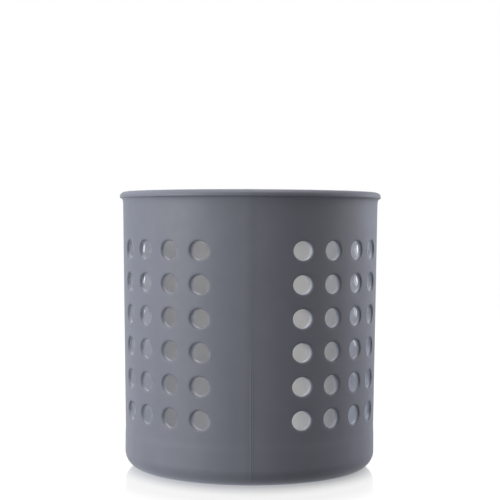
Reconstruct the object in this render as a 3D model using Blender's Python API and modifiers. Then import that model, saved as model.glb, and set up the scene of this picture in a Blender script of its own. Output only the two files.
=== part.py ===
"""Round cutlery drainer: a perforated moulded tub and the cross-shaped divider that lifts out of it.

Metres, +Z up. The origin is on the resting plane, on the tub's axis. The mould parts along the planes
x = 0 and y = 0, so each quarter of the wall is formed by a slide that moves out at 45 degrees, and its
holes are cored along that slide's direction. The divider's vanes stand in the planes at 45 degrees.
"""

import math

import bmesh
import bpy
from mathutils import Matrix, Vector

# Tub, overall
HEIGHT = 0.129
WALL_TOP_RADIUS = 0.060
FOOT_RADIUS = 0.0585
FOOT_BAND_HEIGHT = 0.0175
FOOT_BAND_STEP = 0.00015
WALL = 0.0022

# Tub, lip: a crown that rounds over to the outer face, a small lower edge and a hollow run to the wall
LIP_OVERHANG = 0.0016
LIP_DEPTH = 0.0031
LIP_CROWN_WIDTH = 0.0028
LIP_CROWN_HEIGHT = 0.0020
LIP_EDGE = 0.0005
LIP_FILLET_HEIGHT = 0.0025
MOUTH_ROUND = 0.0007

# Tub, foot and floor
FOOT_CORNER = 0.0078
FOOT_RING_WIDTH = 0.0035
FLOOR = 0.0024
FLOOR_RISE = 0.0016
FLOOR_FILLET = 0.0052

# Drain holes in the wall: blocks of columns and rows between the parting planes
HOLE_DIAMETER = 0.0084
TOP_ROW_HEIGHT = 0.1025
ROW_PITCH = 0.01475
ROWS = 6
COLUMNS = 4
COLUMN_STEP = math.radians(15)
QUARTERS = 4
QUARTER_TURN = 2 * math.pi / QUARTERS

# Drain holes in the floor: distance from the axis, and angles either side of a compartment's middle
FLOOR_HOLE_DIAMETER = 0.0080
INNER_DRAIN_RADIUS = 0.019
OUTER_DRAIN_RADIUS = 0.0375
OUTER_DRAIN_STEP = math.radians(30)

# Divider
DIVIDER_TOP = 0.117
VANE_FOOT_THICKNESS = 0.0026
VANE_TOP_THICKNESS = 0.0018
HUB_FILLET = 0.0030
VANE_CORNER = 0.0080
FLOW_GAP_HEIGHT = 0.0030
HUB_FOOT_RADIUS = 0.0100
VANE_FOOT_WIDTH = 0.0090
FLOW_GAP_ROUND = 0.0015

# Fit of the divider in the tub
SEAT_GAP = 0.0003
SIDE_CLEARANCE = 0.0005

# How far a cutter runs past what it cuts
OVERRUN = 0.0040

# Smoothness: steps of a turned shape, sides of a hole and pieces of an arc
TURN_STEPS = 48
HOLE_SIDES = 16
ARC_PIECES = 4
MERGE = 0.00001

# Finishes: colour, roughness and metallic value
BLUE_GREY_SOFT_TOUCH = ((0.187, 0.203, 0.250, 1.0), 0.55, 0.0)
PALE_GREY_PLASTIC = ((0.72, 0.72, 0.71, 1.0), 0.45, 0.0)


def wall_radius(z):
    """Outer radius of the tub's wall: upright on the foot band, then drafted out to the lip."""
    if z <= FOOT_BAND_HEIGHT:
        return FOOT_RADIUS
    lip_base = HEIGHT - LIP_DEPTH
    climb = (z - FOOT_BAND_HEIGHT) / (lip_base - FOOT_BAND_HEIGHT)
    return FOOT_RADIUS + (WALL_TOP_RADIUS - FOOT_RADIUS) * climb


def arc(centre, width, height, start, end):
    """Points of a round or elliptic corner in the profile plane, between two angles in degrees."""
    angles = [math.radians(start + (end - start) * i / ARC_PIECES) for i in range(ARC_PIECES + 1)]
    return [(centre[0] + width * math.cos(a), centre[1] + height * math.sin(a)) for a in angles]


def round_corner(centre, radius, start, end):
    return arc(centre, radius, radius, start, end)


def new_collection(name):
    collection = bpy.data.collections.new(name)
    bpy.context.scene.collection.children.link(collection)
    return collection


def new_material(name, finish):
    colour, roughness, metallic = finish
    material = bpy.data.materials.new(name)
    material.use_nodes = True
    shader = material.node_tree.nodes["Principled BSDF"]
    shader.inputs["Base Color"].default_value = colour
    shader.inputs["Roughness"].default_value = roughness
    shader.inputs["Metallic"].default_value = metallic
    material.diffuse_color = colour
    return material


def add_object(name, mesh, collection):
    obj = bpy.data.objects.new(name, mesh)
    collection.objects.link(obj)
    return obj


def turned(name, profile, collection, closed=False):
    """A body of revolution about Z. An open profile begins and ends on the axis, a closed one is a ring."""
    mesh = bpy.data.meshes.new(name)
    count = len(profile)
    edges = [(i, i + 1) for i in range(count - 1)]
    if closed:
        edges.append((count - 1, 0))
    mesh.from_pydata([(r, 0, z) for r, z in profile], edges, [])
    obj = add_object(name, mesh, collection)
    screw = obj.modifiers.new("Turn", "SCREW")
    screw.axis = "Z"
    screw.steps = TURN_STEPS
    screw.render_steps = TURN_STEPS
    screw.use_merge_vertices = True
    screw.merge_threshold = MERGE
    return obj


def mark_as_cutter(obj):
    obj.hide_render = True
    obj.display_type = "WIRE"


def boolean(obj, cutter, operation):
    modifier = obj.modifiers.new(cutter.name, "BOOLEAN")
    modifier.object = cutter
    modifier.operation = operation
    modifier.solver = "EXACT"


def add_rod(shape, radius, length, placement):
    """A round rod along its own X axis, put in place by a matrix; no corner lies on its top or bottom line."""
    half_side = math.pi / HOLE_SIDES
    along_x = Matrix.Rotation(math.pi / 2, 4, "Y") @ Matrix.Rotation(half_side, 4, "Z")
    bmesh.ops.create_cone(
        shape, cap_ends=True, segments=HOLE_SIDES, radius1=radius, radius2=radius,
        depth=length, matrix=placement @ along_x)


def mesh_of(name, shape):
    mesh = bpy.data.meshes.new(name)
    shape.to_mesh(mesh)
    shape.free()
    return mesh


def tub_profile():
    """Half section of the tub: out along the floor, up the inside, over the lip, down and under to the axis."""
    floor_top = FLOOR_RISE + FLOOR
    inner_foot = FOOT_RADIUS - WALL
    mouth = WALL_TOP_RADIUS - WALL
    profile = [(0, floor_top)]
    profile += round_corner((inner_foot - FLOOR_FILLET, floor_top + FLOOR_FILLET), FLOOR_FILLET, -90, 0)
    profile.append((inner_foot, FOOT_BAND_HEIGHT))
    profile += round_corner((mouth + MOUTH_ROUND, HEIGHT - MOUTH_ROUND), MOUTH_ROUND, 180, 90)

    lip_face = WALL_TOP_RADIUS + LIP_OVERHANG
    lip_base = HEIGHT - LIP_DEPTH
    fillet_foot = lip_base - LIP_FILLET_HEIGHT
    fillet_width = LIP_OVERHANG - LIP_EDGE
    crown_centre = (lip_face - LIP_CROWN_WIDTH, HEIGHT - LIP_CROWN_HEIGHT)
    profile += arc(crown_centre, LIP_CROWN_WIDTH, LIP_CROWN_HEIGHT, 90, 0)
    profile.append((lip_face, lip_base + LIP_EDGE))
    profile += arc((WALL_TOP_RADIUS + fillet_width, fillet_foot), fillet_width, LIP_FILLET_HEIGHT, 90, 180)[:-1]

    ring_outer = FOOT_RADIUS - FOOT_CORNER
    ring_inner = ring_outer - FOOT_RING_WIDTH
    profile.append((wall_radius(fillet_foot), fillet_foot))
    profile.append((FOOT_RADIUS, FOOT_BAND_HEIGHT))
    profile.append((FOOT_RADIUS + FOOT_BAND_STEP, FOOT_BAND_HEIGHT - FOOT_BAND_STEP))
    corner_width = FOOT_CORNER + FOOT_BAND_STEP
    profile += arc((ring_outer, FOOT_CORNER), corner_width, FOOT_CORNER, 0, -90)
    profile += [(ring_inner, 0), (ring_inner - FLOOR_RISE, FLOOR_RISE), (0, FLOOR_RISE)]
    return profile


def wall_hole_block(quarter, collection):
    """Core pins of one slide: rods along the slide's direction, one for each hole of its block."""
    shape = bmesh.new()
    facing = Matrix.Rotation((quarter + 1 / 2) * QUARTER_TURN, 4, "Z")
    for column in range(COLUMNS):
        angle = (column - (COLUMNS - 1) / 2) * COLUMN_STEP
        for row in range(ROWS):
            z = TOP_ROW_HEIGHT - row * ROW_PITCH
            outer = wall_radius(z)
            offset = outer * math.sin(angle)
            surface = math.sqrt(outer ** 2 - offset ** 2)
            reach = WALL / math.cos(angle) + HOLE_DIAMETER * abs(math.tan(angle)) / 2 + OVERRUN
            centre = Vector((surface - WALL / 2, offset, z))
            add_rod(shape, HOLE_DIAMETER / 2, 2 * reach, facing @ Matrix.Translation(centre))
    cutter = add_object(f"wall_holes_{quarter + 1}", mesh_of("wall_holes", shape), collection)
    mark_as_cutter(cutter)
    return cutter


def floor_holes(collection):
    """Drain holes of the floor: one near the axis and three further out in each compartment."""
    places = [(INNER_DRAIN_RADIUS, 0)]
    places += [(OUTER_DRAIN_RADIUS, k * OUTER_DRAIN_STEP) for k in (-1, 0, 1)]
    shape = bmesh.new()
    upright = Matrix.Rotation(-math.pi / 2, 4, "Y")
    for quarter in range(QUARTERS):
        for radius, angle in places:
            turn = quarter * QUARTER_TURN + angle
            centre = Vector((radius * math.cos(turn), radius * math.sin(turn), FLOOR_RISE + FLOOR / 2))
            placement = Matrix.Translation(centre) @ upright
            add_rod(shape, FLOOR_HOLE_DIAMETER / 2, FLOOR + 2 * OVERRUN, placement)
    cutter = add_object("floor_holes", mesh_of("floor_holes", shape), collection)
    mark_as_cutter(cutter)
    return cutter


def build_tub(parts, cutters):
    tub = turned("tub", tub_profile(), parts)
    for quarter in range(QUARTERS):
        boolean(tub, wall_hole_block(quarter, cutters), "DIFFERENCE")
    boolean(tub, floor_holes(cutters), "DIFFERENCE")
    return tub


def cross_outline(half_thickness, half_span):
    """Plan of the divider: four vanes at 45 degrees that meet in hollow fillets, anticlockwise."""
    corner = half_thickness + HUB_FILLET
    quarter = [Vector((half_span, half_thickness))]
    quarter += [Vector(p) for p in round_corner((corner, corner), HUB_FILLET, 270, 180)]
    quarter.append(Vector((half_thickness, half_span)))
    points = []
    for k in range(QUARTERS):
        turn = Matrix.Rotation((k + 1 / 2) * QUARTER_TURN, 2)
        points += [turn @ p for p in quarter]
    return points


def drafted_cross(collection):
    """The cross as a loft from its thick foot section to its thin top section."""
    half_span = FOOT_RADIUS + WALL
    bottom = FLOOR_RISE + FLOOR - OVERRUN
    top = DIVIDER_TOP + OVERRUN
    shape = bmesh.new()
    sections = []
    for z, thickness in ((bottom, VANE_FOOT_THICKNESS), (top, VANE_TOP_THICKNESS)):
        outline = cross_outline(thickness / 2, half_span)
        sections.append([shape.verts.new((x, y, z)) for x, y in outline])
    low, high = sections
    count = len(low)
    for i in range(count):
        j = (i + 1) % count
        shape.faces.new((low[i], low[j], high[j], high[i]))
    shape.faces.new(list(reversed(low)))
    shape.faces.new(high)
    return add_object("divider", mesh_of("divider", shape), collection)


def cavity_radius(z):
    """Inner radius of the tub's wall above the floor fillet."""
    return wall_radius(z) - WALL


def divider_envelope(collection):
    """Turned shape that the vanes fill: the tub's inside less the clearances, with rounded top corners."""
    seat = FLOOR_RISE + FLOOR + SEAT_GAP
    foot = cavity_radius(0) - SIDE_CLEARANCE
    top = cavity_radius(DIVIDER_TOP) - SIDE_CLEARANCE
    shoulder = DIVIDER_TOP - VANE_CORNER
    profile = [(0, DIVIDER_TOP)]
    profile += round_corner((top - VANE_CORNER, shoulder), VANE_CORNER, 90, 0)
    profile.append((foot, FOOT_BAND_HEIGHT))
    profile += round_corner((foot - FLOOR_FILLET, seat + FLOOR_FILLET), FLOOR_FILLET, 0, -90)
    profile.append((0, seat))
    envelope = turned("divider_envelope", profile, collection)
    mark_as_cutter(envelope)
    return envelope


def flow_gap(collection):
    """Ring cut from the vanes' lower edges, so that water runs between the compartments to every drain."""
    seat = FLOOR_RISE + FLOOR + SEAT_GAP
    inner = HUB_FOOT_RADIUS
    outer = FOOT_RADIUS - WALL - FLOOR_FILLET - VANE_FOOT_WIDTH / 2
    top = seat + FLOW_GAP_HEIGHT
    ring = round_corner((inner + FLOW_GAP_ROUND, top - FLOW_GAP_ROUND), FLOW_GAP_ROUND, 180, 90)
    ring += round_corner((outer - FLOW_GAP_ROUND, top - FLOW_GAP_ROUND), FLOW_GAP_ROUND, 90, 0)
    ring += [(outer, seat - OVERRUN), (inner, seat - OVERRUN)]
    cutter = turned("flow_gap", ring, collection, closed=True)
    mark_as_cutter(cutter)
    return cutter


def build_divider(parts, cutters):
    divider = drafted_cross(parts)
    boolean(divider, divider_envelope(cutters), "INTERSECT")
    boolean(divider, flow_gap(cutters), "DIFFERENCE")
    return divider


def shade(obj):
    """Round faces smooth, corners sharper than 30 degrees left crisp."""
    obj.data.shade_smooth()
    obj.data.set_sharp_from_angle(angle=math.radians(30))


def main():
    for obj in list(bpy.data.objects):
        bpy.data.objects.remove(obj, do_unlink=True)
    parts = new_collection("cutlery_drainer")
    cutters = new_collection("cutters")
    tub = build_tub(parts, cutters)
    divider = build_divider(parts, cutters)
    tub.data.materials.append(new_material("tub_soft_touch", BLUE_GREY_SOFT_TOUCH))
    divider.data.materials.append(new_material("divider_plastic", PALE_GREY_PLASTIC))
    for obj in (tub, divider):
        shade(obj)


main()
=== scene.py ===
import math

import bmesh
import bpy
from mathutils import Matrix, Vector


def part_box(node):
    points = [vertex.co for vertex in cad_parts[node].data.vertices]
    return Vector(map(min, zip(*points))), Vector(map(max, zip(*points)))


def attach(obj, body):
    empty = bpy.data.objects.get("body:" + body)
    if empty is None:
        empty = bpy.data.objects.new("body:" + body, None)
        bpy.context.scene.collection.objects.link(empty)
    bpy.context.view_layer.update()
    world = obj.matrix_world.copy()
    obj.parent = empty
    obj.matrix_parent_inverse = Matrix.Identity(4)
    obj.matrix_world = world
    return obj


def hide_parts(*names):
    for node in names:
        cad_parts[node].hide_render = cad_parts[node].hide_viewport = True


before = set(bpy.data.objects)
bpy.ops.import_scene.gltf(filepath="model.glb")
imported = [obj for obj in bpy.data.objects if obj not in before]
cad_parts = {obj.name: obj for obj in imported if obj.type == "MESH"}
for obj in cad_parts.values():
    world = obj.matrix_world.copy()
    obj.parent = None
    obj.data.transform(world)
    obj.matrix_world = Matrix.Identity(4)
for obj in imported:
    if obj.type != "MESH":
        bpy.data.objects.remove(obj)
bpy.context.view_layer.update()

tub_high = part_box("tub")[1]
divider_low, divider_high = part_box("divider")

# Tub, read from the frame
HEIGHT = tub_high.z
LIP_FACE = tub_high.x

# Tub, wall
LIP_OVERHANG = 0.0016
WALL_TOP_RADIUS = LIP_FACE - LIP_OVERHANG
FOOT_RADIUS = 0.0585
FOOT_BAND_HEIGHT = 0.0175
FOOT_BAND_STEP = 0.00015
BAND_RUN = 0.0018
WALL = 0.0022

# Tub, lip
LIP_DEPTH = 0.0031
LIP_CROWN_WIDTH = 0.0028
LIP_CROWN_HEIGHT = 0.0020
LIP_EDGE = 0.0005
LIP_FILLET_HEIGHT = 0.0025
MOUTH_ROUND = 0.0007

# Tub, foot and floor
FOOT_CORNER = 0.0078
FOOT_RING_WIDTH = 0.0035
FOOT_RING_ROUND = 0.0004
FLOOR = 0.0024
FLOOR_RISE = 0.0016
FLOOR_FILLET = 0.0052
FLOOR_TOP = FLOOR_RISE + FLOOR

# Drain holes of the wall
HOLE_RADIUS = 0.0042
TOP_ROW_HEIGHT = 0.1025
ROW_PITCH = 0.01475
ROWS = 6
COLUMNS = 4
COLUMN_STEP = math.radians(15)
QUARTERS = 4
QUARTER_TURN = math.tau / QUARTERS

# Drain holes of the floor
DRAIN_RADIUS = 0.0040
INNER_DRAIN_PLACE = 0.019
OUTER_DRAIN_PLACE = 0.0375
INNER_CELL_HALF = 0.0065
OUTER_CELL_HALF = 0.0068
INNER_CELL_TURN = math.radians(45)
OUTER_CELL_TURN = math.radians(30)

# Parting line of the mould: a low broad swell that carries two fine raised lines. LINES has the place
# and the share of the height of each, and RIDGE_STEPS the upright lines of the mesh across them
SWELL_HEIGHT = 0.00012
SWELL_PLACE = -0.0015
SWELL_WIDTH = 0.0024
LINE_HEIGHT = 0.0001
LINE_WIDTH = 0.00028
LOW_LINE_END = 0.042
HIGH_LINE_START = 0.062
HIGH_LINE_SHARE = 0.25
LINES = ((0, 1), (0.00086, 0.6))
RIDGE_HEIGHT = SWELL_HEIGHT + LINE_HEIGHT * HIGH_LINE_SHARE
RIDGE_STEPS = (
    -0.00380, -0.00320, -0.00200, -0.00090, -0.00060, -0.00042, -0.00028, -0.00014, 0.00014,
    0.00028, 0.00043, 0.00058, 0.00072, 0.00086, 0.00100, 0.00114, 0.00128, 0.00146)

# Divider
DIVIDER_TOP = divider_high.z
DIVIDER_SEAT = divider_low.z
VANE_FOOT_THICKNESS = 0.0026
VANE_TOP_THICKNESS = 0.0018
HUB_FILLET = 0.0030
VANE_CORNER = 0.0080
FLOW_GAP_HEIGHT = 0.0030
HUB_FOOT_RADIUS = 0.0100
VANE_FOOT_WIDTH = 0.0090
FLOW_GAP_ROUND = 0.0015
SIDE_CLEARANCE = 0.0005
VANE_EDGE_ROUND = 0.0004
OVERRUN = 0.0040

# The outer share of the wall is a blue-grey skin, which gives way to a paler inside. The pale inside is
# partly painted light: it stands in for the light inside the shaded tub, and its rise through the wall
# paints light on the shaded walls of the holes
DEPTH_NAME = "depth"
SKIN_SHARE = 0.05
PALE_SHARE = 0.6

# Mesh density
CELL_DIVISIONS = 8
TURN_DIVISION = COLUMN_STEP / CELL_DIVISIONS
ARC_PIECES = 10
LIP_EDGE_PIECES = 5
HUB_FILLET_PIECES = 8
FLOW_GAP_PIECES = 6
VANE_EDGE_PIECES = 3
INNER_WALL_ROWS = 6
UNDER_LIP_ROWS = 8
ABOVE_FOOT_ROWS = 16
BORE_SHARES = (1 / 3, 2 / 3)
CUTTER_STEPS = 96
CUTTER_MERGE = 1e-5
CUT_MERGE = 2e-6
FLAT_ANGLE = math.radians(1)
SHARP_ANGLE = math.radians(40)

# Mouths of the holes: width of the rounded edge, steps of the surface round it, and pieces of the
# rounding
OUTER_MOUTH = (0.0009, (0.4, 0.75, 1), 4)
INNER_MOUTH = (0.0004, (0.55, 1), 2)


def eased(value, low, high):
    """Share of the way from low to high, from 0 to 1, with soft ends."""
    t = min(max((value - low) / (high - low), 0), 1)
    return t * t * (3 - 2 * t)


def wall_radius(z):
    """Outer radius of the wall: upright on the foot band, then drafted out to the lip."""
    if z <= FOOT_BAND_HEIGHT:
        return FOOT_RADIUS
    climb = (z - FOOT_BAND_HEIGHT) / (HEIGHT - LIP_DEPTH - FOOT_BAND_HEIGHT)
    return FOOT_RADIUS + (WALL_TOP_RADIUS - FOOT_RADIUS) * climb


def skin_radius(z):
    """Outer radius with the foot band, which stands out by a small soft step."""
    above = eased(z, FOOT_BAND_HEIGHT - BAND_RUN, FOOT_BAND_HEIGHT + BAND_RUN)
    return wall_radius(z) + FOOT_BAND_STEP * (1 - above)


def inner_radius(z):
    """Inner radius of the wall."""
    if z <= FOOT_BAND_HEIGHT:
        return FOOT_RADIUS - WALL
    climb = (z - FOOT_BAND_HEIGHT) / (HEIGHT - MOUTH_ROUND - FOOT_BAND_HEIGHT)
    return FOOT_RADIUS - WALL + (WALL_TOP_RADIUS - FOOT_RADIUS) * climb


def arc(centre, width, height, start, end, pieces=ARC_PIECES):
    """Points of a round or elliptic corner in the profile plane, between two angles in degrees."""
    angles = [math.radians(start + (end - start) * i / pieces) for i in range(pieces + 1)]
    return [(centre[0] + width * math.cos(a), centre[1] + height * math.sin(a)) for a in angles]


def spread(first, last, pieces):
    """Evenly spaced values from first to last, both included."""
    return [first + (last - first) * i / pieces for i in range(pieces + 1)]


def ridge(turn, z):
    """Height of the parting line at an angle about the axis. Its fine lines are clearest low down."""
    nearest = round(turn / QUARTER_TURN) * QUARTER_TURN
    distance = WALL_TOP_RADIUS * (turn - nearest)
    swell = SWELL_HEIGHT * math.exp(-((distance - SWELL_PLACE) / SWELL_WIDTH) ** 2)
    lines = sum(
        share * math.exp(-((distance - place) / LINE_WIDTH) ** 2) for place, share in LINES)
    clear = 1 - (1 - HIGH_LINE_SHARE) * eased(z, LOW_LINE_END, HIGH_LINE_START)
    return swell + LINE_HEIGHT * lines * clear


class Skin:
    """Corners and faces of one surface, gathered row by row."""

    def __init__(self):
        self.points = []
        self.faces = []

    def row(self, places):
        first = len(self.points)
        self.points += places
        return list(range(first, len(self.points)))

    def band(self, one, two):
        """Quads between two closed rows."""
        count = len(one)
        for i in range(count):
            j = (i + 1) % count
            self.faces.append((one[i], one[j], two[j], two[i]))

    def fan(self, row, place):
        """Triangles from a closed row to one point."""
        tip = self.row([place])[0]
        count = len(row)
        for i in range(count):
            self.faces.append((row[i], row[(i + 1) % count], tip))

    def make(self, name):
        mesh = bpy.data.meshes.new(name)
        mesh.from_pydata(self.points, [], self.faces)
        shape = bmesh.new()
        shape.from_mesh(mesh)
        bmesh.ops.recalc_face_normals(shape, faces=shape.faces)
        shape.to_mesh(mesh)
        shape.free()
        mesh.shade_smooth()
        obj = bpy.data.objects.new(name, mesh)
        bpy.context.scene.collection.objects.link(obj)
        return obj


def turn_lines():
    """Angles of the mesh's upright lines: an even division, and close lines along each parting plane."""
    lines = {round(i * math.degrees(TURN_DIVISION), 6) for i in range(round(math.tau / TURN_DIVISION))}
    for quarter in range(QUARTERS):
        for step in RIDGE_STEPS:
            offset = math.degrees(step / WALL_TOP_RADIUS)
            lines.add(round(math.degrees(quarter * QUARTER_TURN) + offset, 6) % 360)
    return [math.radians(line) for line in sorted(lines)]


TURNS = turn_lines()


def line_at(turn):
    """Index of the upright line at an angle."""
    turn = turn % math.tau
    return min(range(len(TURNS)), key=lambda i: abs(TURNS[i] - turn))


def at(radius, z, turn):
    """Point at a distance from the axis, a height and an angle."""
    return Vector((radius * math.cos(turn), radius * math.sin(turn), z))


# Each surface gives the place of a point from its angle, and from its height or its distance from the
# axis
def outer_place(turn, z):
    return at(skin_radius(z) + ridge(turn, z), z, turn)


def inner_place(turn, z):
    return at(inner_radius(z), z, turn)


def floor_place(turn, radius):
    return at(radius, FLOOR_TOP, turn)


def under_place(turn, radius):
    return at(radius, FLOOR_RISE, turn)


def wall_heights():
    """Heights of the mesh's level lines through the rows of holes, from the lowest up."""
    low = TOP_ROW_HEIGHT - (ROWS - 1 / 2) * ROW_PITCH
    return spread(low, low + ROWS * ROW_PITCH, ROWS * CELL_DIVISIONS)


def drain_radii():
    """Distances from the axis of the floor's rings, from the hub out."""
    radii = []
    for place, half in ((INNER_DRAIN_PLACE, INNER_CELL_HALF), (OUTER_DRAIN_PLACE, OUTER_CELL_HALF)):
        radii += spread(place - half, place + half, CELL_DIVISIONS)
    return radii


def ring(skin, radius, z, ridged=False):
    """One level row of corners round the axis, with the parting line's ridges if it is ridged."""
    return skin.row([at(radius + (ridge(turn, z) if ridged else 0), z, turn) for turn in TURNS])


def tub_rows(skin):
    """Rows of corners round the whole section, and those of each perforated surface by place."""
    named = {}
    rows = []
    radii = drain_radii()
    named["floor"] = [ring(skin, r, FLOOR_TOP) for r in radii]
    rows += named["floor"]
    inner_foot = FOOT_RADIUS - WALL
    fillet_centre = (inner_foot - FLOOR_FILLET, FLOOR_TOP + FLOOR_FILLET)
    for r, z in arc(fillet_centre, FLOOR_FILLET, FLOOR_FILLET, -90, 0):
        rows.append(ring(skin, r, z))
    heights = wall_heights()
    for z in spread(fillet_centre[1], heights[0], INNER_WALL_ROWS)[1:-1]:
        rows.append(ring(skin, inner_radius(z), z))
    named["inner"] = [ring(skin, inner_radius(z), z) for z in heights]
    rows += named["inner"]
    for z in spread(heights[-1], HEIGHT - MOUTH_ROUND, INNER_WALL_ROWS)[1:-1]:
        rows.append(ring(skin, inner_radius(z), z))
    mouth_centre = (WALL_TOP_RADIUS - WALL + MOUTH_ROUND, HEIGHT - MOUTH_ROUND)
    for r, z in arc(mouth_centre, MOUTH_ROUND, MOUTH_ROUND, 180, 90):
        rows.append(ring(skin, r, z))

    face = LIP_FACE - RIDGE_HEIGHT
    lip_base = HEIGHT - LIP_DEPTH
    fillet_foot = lip_base - LIP_FILLET_HEIGHT
    fillet_width = LIP_OVERHANG - LIP_EDGE - RIDGE_HEIGHT
    crown_centre = (face - LIP_CROWN_WIDTH, HEIGHT - LIP_CROWN_HEIGHT)
    edge_centre = (face - LIP_EDGE, lip_base + LIP_EDGE)
    hollow_centre = (WALL_TOP_RADIUS + fillet_width, fillet_foot)
    lip = arc(crown_centre, LIP_CROWN_WIDTH, LIP_CROWN_HEIGHT, 90, 0)
    lip += arc(edge_centre, LIP_EDGE, LIP_EDGE, 0, -90, LIP_EDGE_PIECES)
    lip += arc(hollow_centre, fillet_width, LIP_FILLET_HEIGHT, 90, 180)[1:-1]
    for r, z in lip:
        rows.append(ring(skin, r, z, ridged=True))
    for z in spread(fillet_foot, heights[-1], UNDER_LIP_ROWS)[:-1]:
        rows.append(ring(skin, skin_radius(z), z, ridged=True))
    named["outer"] = [ring(skin, skin_radius(z), z, ridged=True) for z in heights]
    rows += reversed(named["outer"])
    for z in spread(heights[0], FOOT_CORNER, ABOVE_FOOT_ROWS)[1:-1]:
        rows.append(ring(skin, skin_radius(z), z, ridged=True))
    ring_outer = FOOT_RADIUS - FOOT_CORNER
    ring_inner = ring_outer - FOOT_RING_WIDTH
    corner_centre = (ring_outer, FOOT_CORNER)
    corner_width = FOOT_CORNER + FOOT_BAND_STEP
    for r, z in arc(corner_centre, corner_width, FOOT_CORNER, 0, -90, 2 * ARC_PIECES):
        rows.append(ring(skin, r, z, ridged=z > FOOT_RING_ROUND))
    rows.append(ring(skin, ring_inner + FOOT_RING_ROUND, 0))
    rows.append(ring(skin, ring_inner, FOOT_RING_ROUND / 3))
    slope_end = ring_inner - FLOOR_RISE
    rows.append(ring(skin, slope_end + FOOT_RING_ROUND, FLOOR_RISE - FOOT_RING_ROUND / 2))
    rows.append(ring(skin, slope_end, FLOOR_RISE))
    named["under"] = [ring(skin, r, FLOOR_RISE) for r in radii]
    rows += reversed(named["under"])
    return rows, named


def cell_edge(first, last, low, high):
    """Steps round a cell, as (line, level) pairs, from its lowest corner."""
    edge = [(i, low) for i in range(first, last)]
    edge += [(last, k) for k in range(low, high)]
    edge += [(i, high) for i in range(last, first, -1)]
    edge += [(first, k) for k in range(high, low, -1)]
    return edge


def loop_angles(across, up, half_width, half_height):
    """Angles of the points round a hole, in step with the points round its cell."""
    corner = math.atan2(half_height, half_width)
    angles = [-math.pi + corner + (math.pi - 2 * corner) * i / across for i in range(across)]
    angles += [-corner + 2 * corner * i / up for i in range(up)]
    angles += [corner + (math.pi - 2 * corner) * i / across for i in range(across)]
    angles += [math.pi - corner + 2 * corner * i / up for i in range(up)]
    return angles


def hole_mouth(skin, place, rows, levels, edge, angles, loop, radius, mouth, inward):
    """The surface round one hole, from its cell's edge to the hole and over the rounded edge.

    Gives back the last row of corners, and the places at which the straight bore starts.
    """
    bend, shares, pieces = mouth
    count = len(TURNS)
    outer_row = [rows[k][i % count] for i, k in edge]
    middle = loop(0, 0)[0]
    starts = []
    for i, k in edge:
        turn = TURNS[i % count]
        while turn - middle > math.pi:
            turn -= math.tau
        while turn - middle < -math.pi:
            turn += math.tau
        starts.append((turn, levels[k]))
    ends = [loop(radius + bend, angle) for angle in angles]
    last = outer_row
    for share in shares:
        places = [
            place(a[0] + (b[0] - a[0]) * share, a[1] + (b[1] - a[1]) * share)
            for a, b in zip(starts, ends)]
        row = skin.row(places)
        skin.band(last, row)
        last = row
    shoulder = [place(*end) for end in ends]
    corner = [place(*loop(radius, angle)) for angle in angles]
    throat = [c + inward * bend for c in corner]
    for step in range(1, pieces + 1):
        t = step / pieces
        places = [
            a * (1 - t) ** 2 + b * 2 * t * (1 - t) + c * t ** 2
            for a, b, c in zip(shoulder, corner, throat)]
        row = skin.row(places)
        skin.band(last, row)
        last = row
    return last, throat


def hole(skin, front, back, levels, first, last, low, high, angles, radius, inward):
    """One hole through the wall or the floor.

    front and back are (place, rows, loop, mouth) of its two surfaces.
    """
    edge = cell_edge(first, last, low, high)
    mouths = []
    for (place, rows, loop, mouth), direction in ((front, inward), (back, -inward)):
        mouths.append(
            hole_mouth(skin, place, rows, levels, edge, angles, loop, radius, mouth, direction))
    (front_row, front_places), (back_row, back_places) = mouths
    row = front_row
    for share in BORE_SHARES:
        middle = skin.row([a + (b - a) * share for a, b in zip(front_places, back_places)])
        skin.band(row, middle)
        row = middle
    skin.band(row, back_row)


def wall_loop(facing, offset, z0, radius_of):
    """Outline of a core pin on the wall, as angle and height. It runs along the slide's direction."""
    def loop(radius, angle):
        z = z0 + radius * math.sin(angle)
        across = offset + radius * math.cos(angle)
        return facing + math.asin(across / radius_of(z)), z
    return loop


def floor_loop(facing, distance):
    """Outline of an upright pin on the floor, as angle and distance from the axis."""
    def loop(radius, angle):
        out = distance + radius * math.sin(angle)
        across = radius * math.cos(angle)
        return facing + math.atan2(across, out), math.hypot(across, out)
    return loop


def wall_holes(skin, named, open_cells):
    """Every drain hole of the wall. The cells that they take the place of go into open_cells."""
    heights = wall_heights()
    half_width = WALL_TOP_RADIUS * COLUMN_STEP / 2
    angles = loop_angles(CELL_DIVISIONS, CELL_DIVISIONS, half_width, ROW_PITCH / 2)
    for quarter in range(QUARTERS):
        facing = (quarter + 1 / 2) * QUARTER_TURN
        inward = -Vector((math.cos(facing), math.sin(facing), 0))
        for column in range(COLUMNS):
            turn = (column - (COLUMNS - 1) / 2) * COLUMN_STEP
            first = line_at(facing + turn - COLUMN_STEP / 2)
            last = first + CELL_DIVISIONS
            for row in range(ROWS):
                low = row * CELL_DIVISIONS
                high = low + CELL_DIVISIONS
                z = heights[low] + ROW_PITCH / 2
                offset = wall_radius(z) * math.sin(turn)
                outer_loop = wall_loop(facing, offset, z, wall_radius)
                inner_loop = wall_loop(facing, offset, z, inner_radius)
                front = (outer_place, named["outer"], outer_loop, OUTER_MOUTH)
                back = (inner_place, named["inner"], inner_loop, INNER_MOUTH)
                hole(
                    skin, front, back, heights, first, last, low, high, angles, HOLE_RADIUS, inward)
                for rows in ("outer", "inner"):
                    for i in range(first, last):
                        open_cells.update((rows, k, i) for k in range(low, high))


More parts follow.
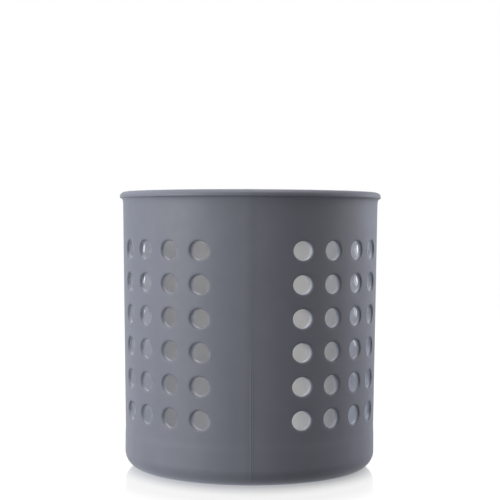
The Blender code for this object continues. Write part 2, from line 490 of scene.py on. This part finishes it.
def floor_holes(skin, named, open_cells):
    """Every drain hole of the floor. The cells that they take the place of go into open_cells."""
    radii = drain_radii()
    ring_count = CELL_DIVISIONS + 1
    rings = (
        (INNER_DRAIN_PLACE, INNER_CELL_HALF, INNER_CELL_TURN, QUARTER_TURN, 0),
        (OUTER_DRAIN_PLACE, OUTER_CELL_HALF, OUTER_CELL_TURN, OUTER_CELL_TURN, ring_count))
    down = Vector((0, 0, -1))
    for distance, half, cell_turn, step, low in rings:
        high = low + CELL_DIVISIONS
        for k in range(round(math.tau / step)):
            facing = k * step
            first = line_at(facing - cell_turn / 2)
            last = line_at(facing + cell_turn / 2)
            if last <= first:
                last += len(TURNS)
            angles = loop_angles(last - first, CELL_DIVISIONS, distance * cell_turn / 2, half)
            loop = floor_loop(facing, distance)
            front = (floor_place, named["floor"], loop, INNER_MOUTH)
            back = (under_place, named["under"], loop, INNER_MOUTH)
            hole(skin, front, back, radii, first, last, low, high, angles, DRAIN_RADIUS, down)
            for rows in ("floor", "under"):
                for i in range(first, last):
                    open_cells.update((rows, k2, i % len(TURNS)) for k2 in range(low, high))


def tub_mesh():
    """The whole tub as one closed surface of quads, with its holes and rounded edges."""
    skin = Skin()
    rows, named = tub_rows(skin)
    open_cells = set()
    wall_holes(skin, named, open_cells)
    floor_holes(skin, named, open_cells)
    level_of = {}
    for name, members in named.items():
        for k, row in enumerate(members):
            level_of[row[0]] = (name, k)
    count = len(TURNS)
    for one, two in zip(rows, rows[1:]):
        here, there = level_of.get(one[0]), level_of.get(two[0])
        perforated = here and there and here[0] == there[0]
        for i in range(count):
            j = (i + 1) % count
            if perforated and (here[0], min(here[1], there[1]), i) in open_cells:
                continue
            skin.faces.append((one[i], one[j], two[j], two[i]))
    skin.fan(rows[0], Vector((0, 0, FLOOR_TOP)))
    skin.fan(rows[-1], Vector((0, 0, FLOOR_RISE)))
    tub = skin.make("tub_moulding")
    depth = tub.data.attributes.new(DEPTH_NAME, "FLOAT", "POINT")
    for i, vertex in enumerate(tub.data.vertices):
        depth.data[i].value = depth_share(vertex.co)
    return tub


def depth_share(place):
    """How far a point lies through the wall or the floor, from 0 outside to 1 inside."""
    x, y, z = place
    outer = wall_radius(z)
    if z < FOOT_CORNER:
        outer += math.sqrt(FOOT_CORNER ** 2 - (FOOT_CORNER - max(z, 0)) ** 2) - FOOT_CORNER
    through_wall = (outer - math.hypot(x, y)) / WALL
    through_floor = (z - FLOOR_RISE) / FLOOR
    return min(max(min(through_wall, through_floor), 0), 1)


def turned(name, profile, closed=False):
    """A body of revolution about Z, as a mesh object."""
    mesh = bpy.data.meshes.new(name)
    count = len(profile)
    edges = [(i, i + 1) for i in range(count - 1)]
    if closed:
        edges.append((count - 1, 0))
    mesh.from_pydata([(r, 0, z) for r, z in profile], edges, [])
    obj = bpy.data.objects.new(name, mesh)
    bpy.context.scene.collection.objects.link(obj)
    screw = obj.modifiers.new("Turn", "SCREW")
    screw.steps = CUTTER_STEPS
    screw.render_steps = CUTTER_STEPS
    screw.use_merge_vertices = True
    screw.merge_threshold = CUTTER_MERGE
    return obj


def cross_outline(half_thickness, half_span):
    """Plan of the divider: four vanes at 45 degrees that meet in hollow fillets, anticlockwise."""
    corner = half_thickness + HUB_FILLET
    quarter = [Vector((half_span, half_thickness))]
    fillet = arc((corner, corner), HUB_FILLET, HUB_FILLET, 270, 180, HUB_FILLET_PIECES)
    quarter += [Vector(p) for p in fillet]
    quarter.append(Vector((half_thickness, half_span)))
    points = []
    for k in range(QUARTERS):
        points += [Matrix.Rotation((k + 1 / 2) * QUARTER_TURN, 2) @ p for p in quarter]
    return points


def divider_blank():
    """The cross as a loft from its thick foot section to its thin top section."""
    shape = bmesh.new()
    sections = []
    foot, top = DIVIDER_SEAT - OVERRUN, DIVIDER_TOP + OVERRUN
    for z, thickness in ((foot, VANE_FOOT_THICKNESS), (top, VANE_TOP_THICKNESS)):
        outline = cross_outline(thickness / 2, FOOT_RADIUS + WALL)
        sections.append([shape.verts.new((x, y, z)) for x, y in outline])
    low, high = sections
    count = len(low)
    for i in range(count):
        j = (i + 1) % count
        shape.faces.new((low[i], low[j], high[j], high[i]))
    shape.faces.new(list(reversed(low)))
    shape.faces.new(high)
    mesh = bpy.data.meshes.new("divider_insert")
    shape.to_mesh(mesh)
    shape.free()
    obj = bpy.data.objects.new("divider_insert", mesh)
    bpy.context.scene.collection.objects.link(obj)
    return obj


def divider_mesh():
    """The cross trimmed to the tub's inside, its flow gaps cut, and every edge rounded."""
    divider = divider_blank()
    foot = FOOT_RADIUS - WALL - SIDE_CLEARANCE
    top = wall_radius(DIVIDER_TOP) - WALL - SIDE_CLEARANCE
    top_corner = (top - VANE_CORNER, DIVIDER_TOP - VANE_CORNER)
    foot_corner = (foot - FLOOR_FILLET, DIVIDER_SEAT + FLOOR_FILLET)
    profile = [(0, DIVIDER_TOP)]
    profile += arc(top_corner, VANE_CORNER, VANE_CORNER, 90, 0)
    profile.append((foot, FOOT_BAND_HEIGHT))
    profile += arc(foot_corner, FLOOR_FILLET, FLOOR_FILLET, 0, -90)
    profile.append((0, DIVIDER_SEAT))
    envelope = turned("divider_envelope", profile)
    inner = HUB_FOOT_RADIUS
    outer = FOOT_RADIUS - WALL - FLOOR_FILLET - VANE_FOOT_WIDTH / 2
    gap_top = DIVIDER_SEAT + FLOW_GAP_HEIGHT
    bend = FLOW_GAP_ROUND
    section = arc((inner + bend, gap_top - bend), bend, bend, 180, 90, FLOW_GAP_PIECES)
    section += arc((outer - bend, gap_top - bend), bend, bend, 90, 0, FLOW_GAP_PIECES)
    section += [(outer, DIVIDER_SEAT - OVERRUN), (inner, DIVIDER_SEAT - OVERRUN)]
    gap = turned("flow_gap", section, closed=True)
    for cutter, operation in ((envelope, "INTERSECT"), (gap, "DIFFERENCE")):
        modifier = divider.modifiers.new(cutter.name, "BOOLEAN")
        modifier.object = cutter
        modifier.operation = operation
        modifier.solver = "EXACT"
    bpy.context.view_layer.update()
    evaluated = divider.evaluated_get(bpy.context.evaluated_depsgraph_get())
    mesh = bpy.data.meshes.new_from_object(evaluated)
    divider.modifiers.clear()
    divider.data = mesh
    for cutter in (envelope, gap):
        bpy.data.objects.remove(cutter)
    shape = bmesh.new()
    shape.from_mesh(mesh)
    bmesh.ops.remove_doubles(shape, verts=shape.verts, dist=CUT_MERGE)
    bmesh.ops.dissolve_limit(
        shape, angle_limit=FLAT_ANGLE, verts=shape.verts, edges=shape.edges)
    shape.to_mesh(mesh)
    shape.free()
    bevel = divider.modifiers.new("Edges", "BEVEL")
    bevel.width = VANE_EDGE_ROUND
    bevel.segments = VANE_EDGE_PIECES
    bevel.limit_method = "ANGLE"
    bevel.angle_limit = SHARP_ANGLE
    bevel.harden_normals = True
    mesh.shade_smooth()
    return divider


WHITE = (1, 1, 1, 1)

# Plastics: name, colour, roughness, specular level, size and depth of the grain, and for the tub the
# colour of its inside, which is partly painted light for the shaded inside of the tub and its holes
TUB_PLASTIC = (
    "tub_soft_touch", (0.187, 0.203, 0.250), 0.52, 0.3, 0.00035, 0.000012, (0.79, 0.845, 0.95))
DIVIDER_PLASTIC = ("divider_plastic", (0.87, 0.865, 0.84), 0.42, 0.5, 0.0005, 0.000008)
PLASTIC_IOR = 1.46
MOTTLE_SIZE = 0.012
MOTTLE = 0.035
GLOSS_SIZE = 0.004
GLOSS_SPREAD = 0.03
WAVE_SIZE = 0.009
WAVE_DEPTH = 0.00002
BUMP_STRENGTH = 0.5
NOISE_ROUGHNESS = 0.55
NOISE_SPAN = (0.3, 0.7)


def empty_material(name):
    """A material with an output node and nothing else, as (material, tree, output)."""
    material = bpy.data.materials.new(name)
    material.use_nodes = True
    tree = material.node_tree
    tree.nodes.clear()
    return material, tree, tree.nodes.new("ShaderNodeOutputMaterial")


def moulded_plastic(name, colour, roughness, specular, grain_size, grain_depth, inside=None):
    """Moulded plastic: a faint mottle in colour and gloss, a slow waviness and a fine grain."""
    material, tree, output = empty_material(name)
    link = tree.links.new
    shader = tree.nodes.new("ShaderNodeBsdfPrincipled")
    link(shader.outputs["BSDF"], output.inputs["Surface"])
    place = tree.nodes.new("ShaderNodeTexCoord")

    def noise(size, detail):
        node = tree.nodes.new("ShaderNodeTexNoise")
        node.inputs["Scale"].default_value = 1 / size
        node.inputs["Detail"].default_value = detail
        node.inputs["Roughness"].default_value = NOISE_ROUGHNESS
        link(place.outputs["Object"], node.inputs["Vector"])
        return node.outputs["Fac"]

    def mapped(value, low, high):
        node = tree.nodes.new("ShaderNodeMapRange")
        node.inputs["From Min"].default_value = NOISE_SPAN[0]
        node.inputs["From Max"].default_value = NOISE_SPAN[1]
        node.inputs["To Min"].default_value = low
        node.inputs["To Max"].default_value = high
        link(value, node.inputs["Value"])
        return node.outputs["Result"]

    def mottled(tone, factor):
        node = tree.nodes.new("ShaderNodeMix")
        node.data_type = "RGBA"
        node.inputs["A"].default_value = [c * (1 - MOTTLE) for c in tone] + [1]
        node.inputs["B"].default_value = [c * (1 + MOTTLE) for c in tone] + [1]
        link(factor, node.inputs["Factor"])
        return node.outputs["Result"]

    def bump(height, depth):
        node = tree.nodes.new("ShaderNodeBump")
        node.inputs["Strength"].default_value = BUMP_STRENGTH
        node.inputs["Distance"].default_value = depth
        link(height, node.inputs["Height"])
        return node

    factor = mapped(noise(MOTTLE_SIZE, 3), 0, 1)
    tint = mottled(colour, factor)
    # From the skin to the pale inside through the wall's depth: partly painted light on the shaded
    # inside and hole walls
    if inside:
        depth = tree.nodes.new("ShaderNodeAttribute")
        depth.attribute_name = DEPTH_NAME
        share = tree.nodes.new("ShaderNodeMapRange")
        share.interpolation_type = "SMOOTHSTEP"
        share.inputs["From Min"].default_value = SKIN_SHARE
        share.inputs["From Max"].default_value = PALE_SHARE
        link(depth.outputs["Fac"], share.inputs["Value"])
        pale_inside_and_painted_light = tree.nodes.new("ShaderNodeMix")
        pale_inside_and_painted_light.data_type = "RGBA"
        link(share.outputs["Result"], pale_inside_and_painted_light.inputs["Factor"])
        link(tint, pale_inside_and_painted_light.inputs["A"])
        link(mottled(inside, factor), pale_inside_and_painted_light.inputs["B"])
        tint = pale_inside_and_painted_light.outputs["Result"]
    link(tint, shader.inputs["Base Color"])
    gloss = mapped(noise(GLOSS_SIZE, 2), roughness - GLOSS_SPREAD, roughness + GLOSS_SPREAD)
    link(gloss, shader.inputs["Roughness"])
    wave = bump(noise(WAVE_SIZE, 1), WAVE_DEPTH)
    grain = bump(noise(grain_size, 2), grain_depth)
    link(wave.outputs["Normal"], grain.inputs["Normal"])
    link(grain.outputs["Normal"], shader.inputs["Normal"])
    shader.inputs["IOR"].default_value = PLASTIC_IOR
    shader.inputs["Specular IOR Level"].default_value = specular
    return material


# Floor: its grey under the lamps; the light that it sends back up close to the foot, with how much more
# of it on the left; the painted shade of the disc under the tub; and the mirror image, in a strong part
# that starts at the foot and also paints the shadow there, and a faint part further out. Distances and
# spans are from the tub's axis, those of the two parts of the mirror image from MIRROR_START
FLOOR_SIDE = 12
FLOOR_GREY = (0.15, 0.15, 0.15, 1)
BOUNCE = 0.85
BOUNCE_TILT = 0.75
BOUNCE_SPAN = (0.052, 0.061)
UNDER_TUB_SHADE = 0.88
UNDER_TUB_SPAN = (0.046, 0.0505)
MIRROR_ROUGHNESS = 0.08
MIRROR_START = 0.053
CLOSE_MIRROR_AND_SHADOW = 0.5
CLOSE_MIRROR_SPAN = (0, 0.023)
CLOSE_MIRROR_POWER = 1.5
FAR_MIRROR = 0.22
FAR_MIRROR_SPAN = (0.03, 0.075)


def seen_rays(tree):
    """1 for the rays that show a surface: the camera's, in a reflection or through glass. Else 0."""
    path = tree.nodes.new("ShaderNodeLightPath")
    total = path.outputs["Is Camera Ray"]
    for kind in ("Is Glossy Ray", "Is Transmission Ray"):
        either = tree.nodes.new("ShaderNodeMath")
        either.operation = "MAXIMUM"
        tree.links.new(total, either.inputs[0])
        tree.links.new(path.outputs[kind], either.inputs[1])
        total = either.outputs["Value"]
    return total


def floor_material():
    """White glossy tabletop with the object's mirror image, which fades further out.

    It is plain white to the camera and in reflections, and grey to the light of the lamps.
    """
    material, tree, output = empty_material("floor_white")
    link = tree.links.new

    def computed(operation, first, second):
        node = tree.nodes.new("ShaderNodeMath")
        node.operation = operation
        for slot, value in enumerate((first, second)):
            if isinstance(value, (int, float)):
                node.inputs[slot].default_value = value
            else:
                link(value, node.inputs[slot])
        return node.outputs["Value"]

    def fading(value, span, top, smooth=False):
        """From top at the start of the span to nothing at its end."""
        node = tree.nodes.new("ShaderNodeMapRange")
        node.interpolation_type = "SMOOTHSTEP" if smooth else "LINEAR"
        node.inputs["From Min"].default_value = span[0]
        node.inputs["From Max"].default_value = span[1]
        node.inputs["To Min"].default_value = top
        node.inputs["To Max"].default_value = 0
        link(value, node.inputs["Value"])
        return node.outputs["Result"]

    place = tree.nodes.new("ShaderNodeTexCoord")
    length = tree.nodes.new("ShaderNodeVectorMath")
    length.operation = "LENGTH"
    link(place.outputs["Object"], length.inputs[0])
    distance = length.outputs["Value"]
    direction = tree.nodes.new("ShaderNodeVectorMath")
    direction.operation = "NORMALIZE"
    link(place.outputs["Object"], direction.inputs[0])
    sideways = tree.nodes.new("ShaderNodeSeparateXYZ")
    link(direction.outputs["Vector"], sideways.inputs["Vector"])
    aside = sideways.outputs["X"]

    tilt = computed("SUBTRACT", 1, computed("MULTIPLY", aside, BOUNCE_TILT))
    bounce = computed("MULTIPLY", fading(distance, BOUNCE_SPAN, BOUNCE), tilt)
    lift = tree.nodes.new("ShaderNodeMapRange")
    link(seen_rays(tree), lift.inputs["Value"])
    link(bounce, lift.inputs["To Min"])
    uncovered = computed("SUBTRACT", 1, fading(distance, UNDER_TUB_SPAN, UNDER_TUB_SHADE))
    glow = tree.nodes.new("ShaderNodeEmission")
    glow.inputs["Color"].default_value = WHITE
    link(computed("MULTIPLY", lift.outputs["Result"], uncovered), glow.inputs["Strength"])
    matt = tree.nodes.new("ShaderNodeBsdfDiffuse")
    matt.inputs["Color"].default_value = FLOOR_GREY
    lit = tree.nodes.new("ShaderNodeAddShader")
    link(matt.outputs["BSDF"], lit.inputs[0])
    link(glow.outputs["Emission"], lit.inputs[1])

    widening = computed("ADD", 1, computed("MULTIPLY", aside, aside))
    beyond = computed("MULTIPLY", computed("SUBTRACT", distance, MIRROR_START), widening)
    # Strong part from the foot out: reflection, and painted shadow at the foot
    close = computed("POWER", fading(beyond, CLOSE_MIRROR_SPAN, 1), CLOSE_MIRROR_POWER)
    far = fading(beyond, FAR_MIRROR_SPAN, FAR_MIRROR, smooth=True)
    strength = computed("ADD", computed("MULTIPLY", close, CLOSE_MIRROR_AND_SHADOW), far)
    path = tree.nodes.new("ShaderNodeLightPath")
    mirror = tree.nodes.new("ShaderNodeBsdfGlossy")
    mirror.inputs["Color"].default_value = WHITE
    mirror.inputs["Roughness"].default_value = MIRROR_ROUGHNESS
    surface = tree.nodes.new("ShaderNodeMixShader")
    link(computed("MULTIPLY", strength, path.outputs["Is Camera Ray"]), surface.inputs["Fac"])
    link(lit.outputs["Shader"], surface.inputs[1])
    link(mirror.outputs["BSDF"], surface.inputs[2])
    link(surface.outputs["Shader"], output.inputs["Surface"])
    return material


def build_floor():
    bpy.ops.mesh.primitive_grid_add(x_subdivisions=2, y_subdivisions=2, size=FLOOR_SIDE)
    floor = bpy.context.object
    floor.name = "floor"
    floor.data.materials.append(floor_material())


# Light: soft sources by place (angle from the front towards the right, and elevation, both in degrees),
# size, power and colour, all aimed at the middle of the tub. What surrounds them gives a little light
LIGHT_DISTANCE = 0.9
LIGHTS = (
    ("key_left", -60, 10, (0.55, 0.35), 6.0, (1.04, 1.01, 0.96)),
    ("side_left", -90, 10, (0.55, 0.35), 1.15, (0.88, 0.94, 1.15)),
    ("back_left", -120, 35, (0.6, 0.6), 0.8, (0.88, 1.0, 1.14)),
    ("low_right", 90, 10, (0.55, 0.35), 2.15, (1.09, 0.99, 0.96)),
    ("back_right", 120, 10, (0.55, 0.35), 1.8, (0.88, 0.97, 1.14)),
    ("high_front", 0, 62, (0.6, 0.6), 0.85, (1.13, 1.02, 0.88)),
    ("overhead", 0, 88, (0.6, 0.6), 4.7, (1.04, 0.98, 0.97)),
)
AIM = Vector((0, 0, 0.06))
SURROUND = 0.01


def build_lights():
    for name, angle, elevation, size, power, colour in LIGHTS:
        data = bpy.data.lights.new(name, "AREA")
        data.shape = "RECTANGLE"
        data.size, data.size_y = size
        data.energy = power
        data.color = colour
        turn, climb = math.radians(angle), math.radians(elevation)
        level = math.cos(climb)
        away = Vector((level * math.sin(turn), -level * math.cos(turn), math.sin(climb)))
        lamp = bpy.data.objects.new(name, data)
        lamp.location = AIM + away * LIGHT_DISTANCE
        lamp.rotation_euler = away.to_track_quat("Z", "Y").to_euler()
        lamp.visible_camera = False
        bpy.context.scene.collection.objects.link(lamp)
    world = bpy.data.worlds.new("white_surround")
    bpy.context.scene.world = world
    world.use_nodes = True
    tree = world.node_tree
    tree.nodes.clear()
    output = tree.nodes.new("ShaderNodeOutputWorld")
    background = tree.nodes.new("ShaderNodeBackground")
    background.inputs["Color"].default_value = WHITE
    background.inputs["Strength"].default_value = SURROUND
    white = tree.nodes.new("ShaderNodeBackground")
    white.inputs["Color"].default_value = WHITE
    surround = tree.nodes.new("ShaderNodeMixShader")
    tree.links.new(seen_rays(tree), surround.inputs["Fac"])
    tree.links.new(background.outputs["Background"], surround.inputs[1])
    tree.links.new(white.outputs["Background"], surround.inputs[2])
    tree.links.new(surround.outputs["Shader"], output.inputs["Surface"])


# Camera, as fitted to the photograph, which is 500 pixels square
PHOTO_SIDE = 500
FOCAL_PIXELS = 1304.4
SENSOR = 36.0
CAMERA_DISTANCE = 0.6181
CAMERA_HEIGHT = 0.1136
CAMERA_TURN = math.radians(0.609)
CAMERA_PITCH = math.radians(1.099)
CAMERA_ROLL = math.radians(0.213)
CENTRE_COLUMN = 250.14
CLIP_SPAN = (0.01, 50)


def build_camera():
    data = bpy.data.cameras.new("camera")
    data.sensor_fit = "HORIZONTAL"
    data.sensor_width = SENSOR
    data.lens = FOCAL_PIXELS / PHOTO_SIDE * SENSOR
    data.shift_x = -(CENTRE_COLUMN - PHOTO_SIDE / 2) / PHOTO_SIDE
    data.clip_start, data.clip_end = CLIP_SPAN
    camera = bpy.data.objects.new("camera", data)
    bpy.context.scene.collection.objects.link(camera)
    around = Matrix.Rotation(-CAMERA_TURN, 4, "Z")
    stand = Matrix.Translation((0, -CAMERA_DISTANCE, CAMERA_HEIGHT))
    upright = Matrix.Rotation(math.pi / 2 - CAMERA_PITCH, 4, "X")
    roll = Matrix.Rotation(CAMERA_ROLL, 4, "Z")
    camera.matrix_world = around @ stand @ upright @ roll
    bpy.context.scene.camera = camera


def main():
    bpy.context.scene.view_settings.view_transform = "Standard"
    build_camera()
    tub = tub_mesh()
    tub.data.materials.append(moulded_plastic(*TUB_PLASTIC))
    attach(tub, "tub")
    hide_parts("tub")
    divider = divider_mesh()
    divider.data.materials.clear()
    divider.data.materials.append(moulded_plastic(*DIVIDER_PLASTIC))
    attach(divider, "divider")
    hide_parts("divider")
    build_floor()
    build_lights()


main()
